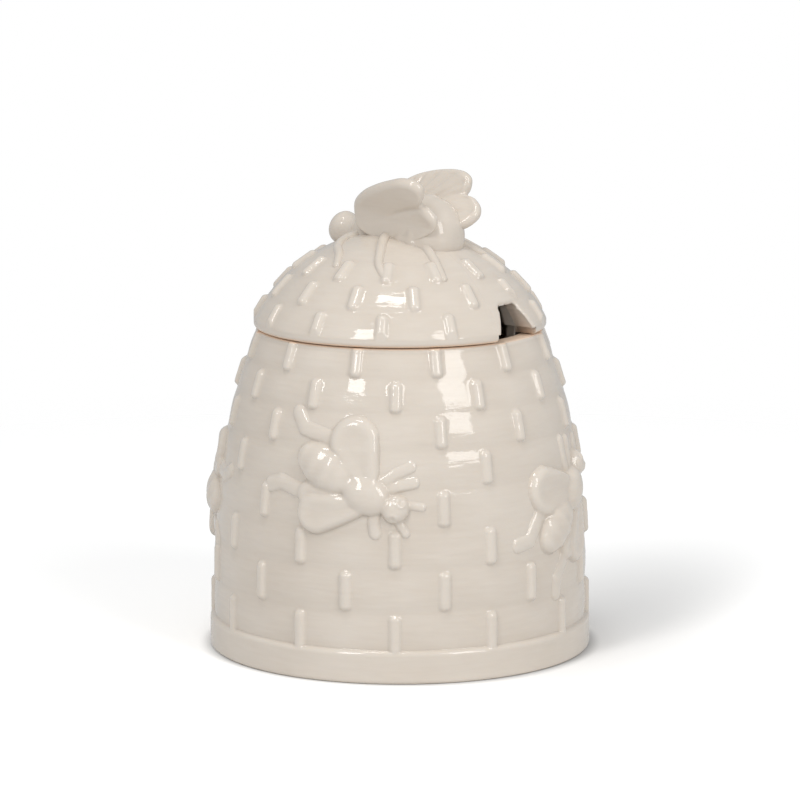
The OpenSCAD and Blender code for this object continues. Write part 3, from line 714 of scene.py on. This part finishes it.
body_f, body_z, body_w, body_h = (smooth_through(stations[:, c], run, steps[1:-1]) for c in range(4))
turn_round = np.linspace(0, 2 * math.pi, 97)[:-1]
body_w, body_h = np.maximum(body_w, 0.05), np.maximum(body_h, 0.05)
banding = 1 + 0.012 * np.sin((body_f + 20) * 1.5) * ease(-2, -6, body_f)
f = body_f[:, None] + 0 * turn_round
s = (body_w * banding)[:, None] * np.cos(turn_round)
z = body_z[:, None] + (body_h * banding)[:, None] * np.sin(turn_round)
over = z + dome_drop(f, s)
flare = 1 + 0.10 * np.clip(1 - over / 2.2, 0, 1) ** 2
s = s * flare
body_rings = bee_to_lid(f, s, z)
ends = bee_to_lid(stations[[0, -1], 0], np.zeros(2), stations[[0, -1], 1])
body_points = np.concatenate([ends[:1], body_rings.reshape(-1, 3), ends[1:]])
# painted shade: the body's glaze colour is darker where it comes down close to the dome, as shade under it
crease_shade = np.concatenate([[0], (0.5 * np.clip(1 - over / 3, 0, 1)).ravel(), [0]])
body_faces = [q[:, ::-1] for q in turned_faces(*f.shape)]
make_piece("lid_bee_body_glazed", body_points, body_faces, "lid", ivory_glaze, "lid_bee_body", crease_shade, 0 * crease_shade)

WING_T, WING_EDGE = 3.4, 2.0
WING_CREASE, VEIN_ROOT, VEINS = ((4.0, 4.5), (-16.0, 11.0)), (5.5, 1.0), 17
# each pair's outline: place along the bee, and place up the wing from its root
UPRIGHT_WINGS = [
    (9.0, 5.0), (9.0, 9.5), (6.6, 12.4), (2.9, 15.0), (-2.4, 16.9), (-7.9, 17.8), (-11.8, 17.9),
    (-14.9, 17.3), (-16.9, 15.8), (-17.1, 13.6), (-16.4, 11.4), (-19.5, 10.3), (-22.0, 8.0),
    (-22.6, 5.4), (-21.4, 3.0), (-17.8, 0.2), (-12.0, -1.8), (0.0, -2.3), (6.0, -0.4)]
SPREAD_WINGS = [
    (9.6, 5.0), (8.8, 9.4), (4.6, 13.4), (-1.0, 16.3), (-6.6, 18.2), (-12.2, 19.3), (-16.0, 18.6),
    (-17.8, 16.4), (-17.2, 13.6), (-15.6, 11.4), (-17.6, 9.6), (-19.2, 6.9), (-18.8, 3.4),
    (-15.2, -0.6), (-9.0, -2.8), (0.0, -3.0), (6.0, -1.0), (9.0, 1.6)]
wing_heart = np.array((-3.0, 5.0))


def outline_reach(outline, angles):
    """Distance from the wing's heart to its outline at each angle, read off a closed smooth curve."""
    closed = np.array(outline + outline[:1])
    length = np.concatenate([[0], np.cumsum(np.hypot(*np.diff(closed, axis=0).T))])
    curve = smooth_through(closed, length, np.linspace(0, length[-1], 1200), closed=True) - wing_heart
    at, reach = np.arctan2(curve[:, 1], curve[:, 0]), np.hypot(curve[:, 0], curve[:, 1])
    order = np.argsort(at)
    return np.interp(angles, at[order], reach[order], period=2 * math.pi)


def wing_pair(name, side, outline, fore_lean, flank, node):
    """A pair of wings as one closed pillow: rings from its heart to its outline on both faces, thick in the
    middle and round at the edge, leaning out more toward the tail, with a crease between fore and hind wing
    and vein grooves on the inner face."""
    spokes = np.linspace(-math.pi, math.pi, 241)[:-1]
    reach = outline_reach(outline, spokes)
    shares = np.sin(np.linspace(0, math.pi / 2, 42))

    def skin(face):
        """Points of one face of the pillow: 1 for the inner face, -1 for the outer."""
        d = shares[:, None] * reach
        a = wing_heart[0] + d * np.cos(spokes)
        b = wing_heart[1] + d * np.sin(spokes)
        inside = reach - d
        thick = WING_T / 2 * np.sqrt(np.maximum(0, 1 - np.clip(1 - inside / WING_EDGE, 0, 1) ** 2.2))
        off_crease, along = line_distance(a, b, *WING_CREASE)
        thick = thick - 0.5 * np.exp(-off_crease ** 2) * ease(0.15, 0.7, along) * ease(0, 1.2, inside)
        if face == 1:
            from_a, from_b = a - VEIN_ROOT[0], b - VEIN_ROOT[1]
            far = np.hypot(from_b, from_a)
            veins = np.cos(np.arctan2(from_b, from_a) * VEINS) ** 6
            thick = thick - 0.3 * veins * ease(8, 13, far) * ease(0.5, 2.4, inside)
        cup = 0.0016 * (d * np.cos(spokes)) ** 2 + 0.004 * (d * np.sin(spokes)) ** 2
        lean = np.radians(fore_lean + 13 * ease(-10, -21, a) * ease(16, 6, b))
        # measured toward the bee's middle line; b runs up and out along the leaning wing
        off = face * thick + cup
        out = smooth_max(3.2 + b * np.sin(lean), 8.0 * flank + 0 * b, 2.5) - off * np.cos(lean)
        return bee_to_lid(a, side * out, 0.6 + b * np.cos(lean) + off * np.sin(lean))

    inner, outer = skin(1), skin(-1)
    rings = np.concatenate([inner[1:], outer[1:-1][::-1]])
    points = np.concatenate([inner[:1, 0], rings.reshape(-1, 3), outer[:1, 0]])
    faces = turned_faces(len(rings), len(spokes))
    if side > 0:
        faces = [q[:, ::-1] for q in faces]
    # the wings get no painted shade and no bare biscuit
    crease_shade = np.zeros(len(points))
    make_piece(name, points, faces, "lid", ivory_glaze, node, crease_shade, crease_shade)


wing_pair("lid_bee_left_wings_glazed", 1, SPREAD_WINGS, 39, 1, "lid_bee_left_wings")
wing_pair("lid_bee_right_wings_glazed", -1, UPRIGHT_WINGS, 31, 0, "lid_bee_right_wings")


def tube(path, radius, around=14, between=7):
    """Round rod along a path in the bee's frame: rings square to a smooth curve through the path's points,
    closed with a round end, as points and faces."""
    path = np.array(path, float)
    length = np.concatenate([[0], np.cumsum(np.linalg.norm(np.diff(path, axis=0), axis=1))])
    at = np.linspace(0, length[-1], between * (len(path) - 1) + 1)
    line = smooth_through(path, length, at)
    ahead = np.gradient(line, axis=0)
    ahead /= np.linalg.norm(ahead, axis=1)[:, None]
    cap_rings = 5
    cap = np.radians(np.linspace(90, 15, cap_rings))
    full = radius * np.interp(at / length[-1], [0, 0.55, 1], [1.15, 1.0, 0.85])
    line = np.concatenate([line[:1] - ahead[:1] * full[0] * np.sin(cap)[:, None], line,
                           line[-1:] + ahead[-1:] * full[-1] * np.sin(cap)[::-1, None]])
    ahead = np.concatenate([np.repeat(ahead[:1], cap_rings, 0), ahead, np.repeat(ahead[-1:], cap_rings, 0)])
    full = np.concatenate([full[0] * np.cos(cap), full, full[-1] * np.cos(cap)[::-1]])
    full = np.maximum(full, 0.03)
    across = np.cross(ahead, (0, 0, 1.0))
    across /= np.linalg.norm(across, axis=1)[:, None]
    up = np.cross(across, ahead)
    a = np.linspace(0, 2 * math.pi, around + 1)[:-1]
    spokes = across[:, None] * np.cos(a)[:, None] + up[:, None] * np.sin(a)[:, None]
    rings = line[:, None] + full[:, None, None] * spokes
    first, last = line[:1] - ahead[:1] * 0.02, line[-1:] + ahead[-1:] * 0.02
    points = np.concatenate([first, rings.reshape(-1, 3), last])
    return points, turned_faces(len(rings), around)


LEG_R, LEG_SINK = 1.45, 0.35
# front, middle and hind leg: place forward and to the side, lying on the dome
leg_paths = [
    [(9.5, 5.0), (11.5, 9.5), (9.6, 15.5), (5.2, 20.5), (2.4, 25.0)],
    [(-1.0, 7.0), (-3.2, 11.6), (-6.6, 17.2), (-9.8, 21.8), (-13.8, 24.4)],
    [(-12.0, 6.0), (-16.3, 8.2), (-20.8, 10.8), (-25.4, 13.4)]]
leg_points, leg_faces, count = [], [], 0
for side in (1, -1):
    for path in leg_paths:
        placed = [(f, side * s, -float(dome_drop(f, s)) - LEG_SINK) for f, s in path]
        points, faces = tube(placed, LEG_R)
        faces = [q + count for q in faces]
        leg_points.append(bee_to_lid(points[:, 0], points[:, 1], points[:, 2]))
        leg_faces += faces
        count += len(points)
make_piece("lid_bee_legs_glazed", np.concatenate(leg_points), leg_faces, "lid", ivory_glaze, "lid_bee_legs",
           np.zeros(count), np.zeros(count))

# --- The studio ---
# A sheet of white paper under three soft boxes: one overhead, one to the front left and one to the front
# right. The room round them is pale and even, and the camera looks a little down with a long lens.

PAPER_HALF = 0.9
# PAPER_SEEN is the paper's even brightness to the camera, SHADE_SEEN the darkest of the painted shadow on it
PAPER_LIT, PAPER_SEEN, SHADE_SEEN = 0.8, 1.26, 0.87
floor_mesh = bpy.data.meshes.new("floor")
corners = [(x * PAPER_HALF, y * PAPER_HALF, 0) for x, y in ((-1, -1), (1, -1), (1, 1), (-1, 1))]
floor_mesh.from_pydata(corners, [], [(0, 1, 2, 3)])
floor = bpy.data.objects.new("floor", floor_mesh)
bpy.context.scene.collection.objects.link(floor)
paper = bpy.data.materials.new("white_sweep")
paper.use_nodes = True
tree = paper.node_tree
links = tree.links
seen = add_node(tree, "ShaderNodeLightPath").outputs["Is Camera Ray"]
spot = add_node(tree, "ShaderNodeTexCoord").outputs["Object"]
from_axis = add_node(tree, "ShaderNodeVectorMath", operation="LENGTH")
links.new(spot, from_axis.inputs[0])

# the camera sees the paper brighter than it is lit, but for a painted shadow: a soft patch at the right, where
# the shadow of the photographed pot falls,
# # and a thin painted shadow where the foot meets the paper
oval = add_node(tree, "ShaderNodeMapping", {
    "Location": (0.056, 0.018, 0), "Rotation": (0, 0, math.radians(70)), "Scale": (0.15, 0.06, 1)},
    vector_type="TEXTURE")
links.new(spot, oval.inputs["Vector"])
in_oval = add_node(tree, "ShaderNodeVectorMath", operation="LENGTH")
links.new(oval.outputs["Vector"], in_oval.inputs[0])
shade = map_range(tree, in_oval.outputs["Value"], (0.0, 1.0), (SHADE_SEEN, PAPER_SEEN), "SMOOTHSTEP")
# painted shadow: a thin dark ring round the foot, seen by the camera only
contact_shadow = map_range(tree, from_axis.outputs["Value"], (0.053, 0.0575), (0.62, 1.0), "SMOOTHSTEP")
white = add_node(tree, "ShaderNodeMix", {"A": (PAPER_LIT, PAPER_LIT, PAPER_LIT, 1)}, data_type="RGBA")
links.new(seen, white.inputs["Factor"])
links.new(reckon(tree, "MULTIPLY", shade, contact_shadow), white.inputs["B"])
paper_shader = add_node(tree, "ShaderNodeBsdfDiffuse")
links.new(white.outputs["Result"], paper_shader.inputs["Color"])

# away from the pot the paper gives way to the white of the room
far_off = map_range(tree, from_axis.outputs["Value"], (0.16, 0.42), (0.0, 1.0))
fading = add_node(tree, "ShaderNodeMixShader")
links.new(reckon(tree, "MULTIPLY", far_off, seen), fading.inputs["Fac"])
links.new(paper_shader.outputs["BSDF"], fading.inputs[1])
links.new(add_node(tree, "ShaderNodeBsdfTransparent").outputs["BSDF"], fading.inputs[2])
links.new(fading.outputs["Shader"], tree.nodes["Material Output"].inputs["Surface"])
tree.nodes.remove(tree.nodes["Principled BSDF"])
floor_mesh.materials.append(paper)


def soft_box(name, azimuth, elevation, distance, width, height, radiance):
    """Rectangular lamp of a given radiance, aimed at the pot's middle, its azimuth and elevation in degrees."""
    lamp = bpy.data.lights.new(name, "AREA")
    lamp.shape, lamp.size, lamp.size_y, lamp.color = "RECTANGLE", width, height, (1.0, 0.985, 0.96)
    lamp.energy = radiance * math.pi * width * height
    box = bpy.data.objects.new(name, lamp)
    bpy.context.scene.collection.objects.link(box)
    a, e = math.radians(azimuth), math.radians(elevation)
    away = np.array((math.sin(a) * math.cos(e), -math.cos(a) * math.cos(e), math.sin(e)))
    box.location = away * distance + np.array((0, 0, 0.07))
    box.rotation_euler = Vector(-away).to_track_quat("-Z", "Y").to_euler()


soft_box("overhead", -20, 75, 1.1, 0.32, 0.22, 10.0)
soft_box("front_left", -34, 37, 1.3, 0.27, 0.6, 8.6)
soft_box("front_right", 41, 30, 1.3, 0.42, 0.78, 5.4)

# the pot is lit by a pale room, and the camera sees plain white
world = bpy.data.worlds.new("studio")
bpy.context.scene.world = world
world.use_nodes = True
tree = world.node_tree
links = tree.links
room = add_node(tree, "ShaderNodeBackground", {"Color": (0.97, 0.985, 1.0, 1), "Strength": 0.5})
backdrop = tree.nodes["Background"]
backdrop.inputs["Color"].default_value = (1, 1, 1, 1)
backdrop.inputs["Strength"].default_value = 1.0
view = add_node(tree, "ShaderNodeMixShader")
links.new(add_node(tree, "ShaderNodeLightPath").outputs["Is Camera Ray"], view.inputs["Fac"])
links.new(room.outputs["Background"], view.inputs[1])
links.new(backdrop.outputs["Background"], view.inputs[2])
links.new(view.outputs["Shader"], tree.nodes["World Output"].inputs["Surface"])

CAMERA_LENS, CAMERA_AWAY, CAMERA_ELEVATION, CAMERA_AIM_Z = 192.0, 1.2, 9.97, 0.0692
camera_data = bpy.data.cameras.new("camera")
camera = bpy.data.objects.new("camera", camera_data)
bpy.context.scene.collection.objects.link(camera)
camera_data.sensor_width, camera_data.lens = 36.0, CAMERA_LENS
camera_data.clip_start, camera_data.clip_end = 0.05, 30.0
elevation = math.radians(CAMERA_ELEVATION)
toward = Vector((0, -math.cos(elevation), math.sin(elevation)))
camera.location = Vector((0, 0, CAMERA_AIM_Z)) + toward * CAMERA_AWAY
camera.rotation_euler = (-toward).to_track_quat("-Z", "Y").to_euler()
bpy.context.scene.camera = camera
bpy.context.scene.view_settings.view_transform = "Standard"
